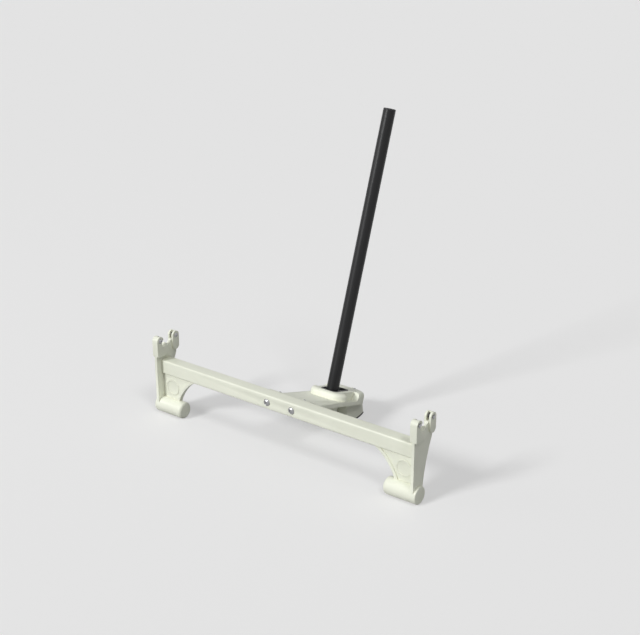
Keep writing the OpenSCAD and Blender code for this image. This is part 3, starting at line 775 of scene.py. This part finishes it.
class JACK_OT_fasteners(bpy.types.Operator):
    """Adds the bolts, washers, nuts and screws and finishes the sleeves"""
    bl_idname = "jack.fasteners"
    bl_label = "Fasteners"

    def execute(self, context):
        sizes = context.scene.jack_sizes
        self.add_beam_bolts(sizes)
        self.add_clamp(sizes)
        self.add_pad_screws(sizes)
        dress("beam_bolt_sleeves", Shelf.get("zinc"))
        return {"FINISHED"}

    def add_beam_bolts(self, sizes):
        low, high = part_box("beam_bolts")
        head, dome, size = sizes.bolt_head, sizes.bolt_dome / MM, sizes.bolt_size / MM
        xs = (low.x + head / 2, high.x - head / 2)
        _, long, _ = sides_of("beam_bolts")
        self.add_pair(xs, low.y + sizes.bolt_dome, (0, -1, 0), "beam_bolts", lambda: domed_bolt(
            head / MM, dome, sizes.bolt_key / MM, size, long - dome, sizes.bolt_thread / MM,
            sizes.thread_pitch / MM))
        _, thick, wide = sides_of("beam_bolt_washers")
        self.add_pair(xs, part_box("beam_bolt_washers")[0].y, (0, 1, 0), "beam_bolt_washers",
                      lambda: soft_ring(wide / 2, size / 2 + WASHER_GAP, thick))
        _, deep, flats = sides_of("beam_bolt_nuts")
        self.add_pair(xs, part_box("beam_bolt_nuts")[0].y, (0, 1, 0), "beam_bolt_nuts",
                      lambda: hexagon_nut(flats, deep, size / 2 + FIT_GAP))

    def add_pair(self, xs, y, direction, node, make):
        bm = bmesh.new()
        z = middle_of("beam_bolts").z
        for x in xs:
            one = make()
            place(one, turn_z_to(direction, Vector((x, y, z))))
            join_into(bm, one)
        plated(bm, f"plated_{node}", node)

    def add_clamp(self, sizes):
        slope = sizes.neck_slope
        back = Vector((0, math.cos(slope), -math.sin(slope)))
        middle = middle_of("clamp_screw_nut")
        flats = sides_of("clamp_screw_nut")[0] * math.cos(math.pi / 6)
        thick, size = sizes.clamp_head / MM, sizes.clamp_size / MM
        nut = hexagon_nut(flats, thick - THREAD_GAP, size / 2 + THREAD_GAP)
        place(nut, turn_z_to(back, middle - back * (thick - THREAD_GAP) / 2 * MM))
        plated(nut, "plated_clamp_nut", "clamp_screw_nut")
        head_gap = 1
        seat = middle + back * (thick / 2 + head_gap) * MM
        shank_r = size / 2 - THREAD_GAP
        tip_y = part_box("clamp_screw")[0].y
        reach = ((seat.y - tip_y) / MM - shank_r * math.sin(slope)) / math.cos(slope)
        screw = hexagon_bolt(flats, thick, 2 * shank_r, reach, sizes.thread_pitch / MM)
        place(screw, turn_z_to(back, seat))
        plated(screw, "plated_clamp_screw", "clamp_screw")

    def add_pad_screws(self, sizes):
        low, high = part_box("rear_pad_screws")
        _, head, top = sides_of("rear_pad_screws")
        r, thick = head / 2, sizes.pad_screw_head / MM
        recess, neck = sizes.pad_screw_recess / 2 / MM, sizes.pad_screw_size / 2 / MM - THREAD_GAP
        deep, wall, edge, tip = 0.6, 0.2, 0.5, 0.8
        profile = [(0, deep), (recess, deep), (recess + wall, 0)]
        profile += [(r - edge, 0), (r, edge), (r, thick), (neck, thick)]
        profile += ridges(neck, thick + POINT, top - POINT, sizes.thread_pitch / MM * FINEST)
        profile += [(neck - tip, top), (0, top)]
        bm = bmesh.new()
        for x in (low.x + r * MM, high.x - r * MM):
            screw = lathe(in_mm(profile))
            y = middle_of("rear_pad_screws").y
            place(screw, turn_z_to((0, 0, 1), Vector((x, y, low.z))))
            join_into(bm, screw)
        plated(bm, "plated_pad_screws", "rear_pad_screws")


class JACK_OT_tail_trim(bpy.types.Operator):
    """Adds the pocket's liner and the rubber pad with softened edges"""
    bl_idname = "jack.tail_trim"
    bl_label = "Liner and pad"

    def execute(self, context):
        sizes = context.scene.jack_sizes
        softened("pocket_liner", "moulded_pocket_liner", sizes.liner_round,
                 Shelf.get("plastic"))
        softened("rear_pad", "moulded_rear_pad", sizes.pad_round, Shelf.get("rubber"))
        return {"FINISHED"}


class JACK_OT_stage(bpy.types.Operator):
    """Adds the pale floor, the soft studio light and the camera"""
    bl_idname = "jack.stage"
    bl_label = "Stage"

    def execute(self, context):
        self.add_floor()
        self.add_world(context.scene)
        for name, direction, spread, strength in SUNS:
            self.add_sun(name, Vector(direction), math.radians(spread), strength)
        where, aim, size, power = SOFTBOX
        self.add_softbox("front_softbox", Vector(where), Vector(aim), size, power)
        self.add_camera(context.scene, context.scene.jack_sizes)
        return {"FINISHED"}

    def add_floor(self):
        bm = bmesh.new()
        bmesh.ops.create_grid(bm, x_segments=1, y_segments=1, size=30)
        piece = as_object(bm, "floor")
        material = bpy.data.materials.new("pale_floor")
        nodes = Nodes(material)
        seen = nodes.seen_ray()
        shader = nodes.given("BSDF_PRINCIPLED")
        shader.inputs["Roughness"].default_value = 0.9
        shade = nodes.node("ShaderNodeMapRange", None, {
            "Value": seen, "To Min": FLOOR_LIT, "To Max": FLOOR_SEEN})
        nodes.tree.links.new(shade.socket, shader.inputs["Base Color"])
        white = nodes.node("ShaderNodeEmission")
        lit = Signal(nodes, shader.outputs[0])
        nodes.surface("OUTPUT_MATERIAL", seen * FLOOR_GLOW, lit, white)
        piece.data.materials.append(material)

    def add_world(self, scene):
        scene.world = bpy.data.worlds.new("studio")
        nodes = Nodes(scene.world)
        sky = nodes.given("BACKGROUND")
        sky.inputs["Color"].default_value = (SKY_LIT, SKY_LIT, SKY_LIT, 1)
        shown = nodes.node(
            "ShaderNodeBackground", None, {"Color": (SKY_SEEN, SKY_SEEN, SKY_SEEN, 1)})
        lit = Signal(nodes, sky.outputs[0])
        nodes.surface("OUTPUT_WORLD", nodes.seen_ray(), lit, shown)

    def add_sun(self, name, direction, angle, strength):
        light = bpy.data.lights.new(name, "SUN")
        light.angle = angle
        light.energy = strength
        lamp = bpy.data.objects.new(name, light)
        lamp.rotation_euler = direction.to_track_quat("-Z", "Y").to_euler()
        bpy.context.scene.collection.objects.link(lamp)

    def add_softbox(self, name, where, aim, size, power):
        light = bpy.data.lights.new(name, "AREA")
        light.shape = "DISK"
        light.size = size
        light.energy = power
        lamp = bpy.data.objects.new(name, light)
        lamp.location = where
        lamp.rotation_euler = (aim - where).to_track_quat("-Z", "Y").to_euler()
        bpy.context.scene.collection.objects.link(lamp)

    def add_camera(self, scene, sizes):
        data = bpy.data.cameras.new("photo_view")
        data.lens = sizes.lens
        data.sensor_width = 36
        data.clip_end = 100
        camera = bpy.data.objects.new("photo_view", data)
        camera.location = sizes.view_from
        camera.rotation_euler = (math.pi / 2 - sizes.view_elevation, 0, sizes.view_azimuth)
        scene.collection.objects.link(camera)
        scene.camera = camera
        scene.view_settings.view_transform = "Standard"


class JACK_PT_pieces(bpy.types.Panel):
    """Lists the pieces of the jack with their sizes and colours"""
    bl_label = "Deadlift jack"
    bl_space_type = "VIEW_3D"
    bl_region_type = "UI"
    bl_category = "Deadlift jack"

    def draw(self, context):
        layout = self.layout
        for group in (context.scene.jack_sizes, context.scene.jack_colours):
            for name in group.__annotations__:
                layout.prop(group, name)
        for operator in OPERATORS:
            layout.operator(operator.bl_idname)


OPERATORS = (
    JACK_OT_castings, JACK_OT_beam, JACK_OT_pole, JACK_OT_guides, JACK_OT_fasteners,
    JACK_OT_tail_trim, JACK_OT_stage)
CLASSES = (JackSizes, JackColours) + OPERATORS + (JACK_PT_pieces,)


def register():
    for item in CLASSES:
        bpy.utils.register_class(item)
    bpy.types.Scene.jack_sizes = bpy.props.PointerProperty(type=JackSizes)
    bpy.types.Scene.jack_colours = bpy.props.PointerProperty(type=JackColours)


def unregister():
    del bpy.types.Scene.jack_colours
    del bpy.types.Scene.jack_sizes
    for item in reversed(CLASSES):
        bpy.utils.unregister_class(item)


def main():
    register()
    for operator in OPERATORS:
        group, name = operator.bl_idname.split(".")
        getattr(getattr(bpy.ops, group), name)()


if __name__ == "__main__":
    main()
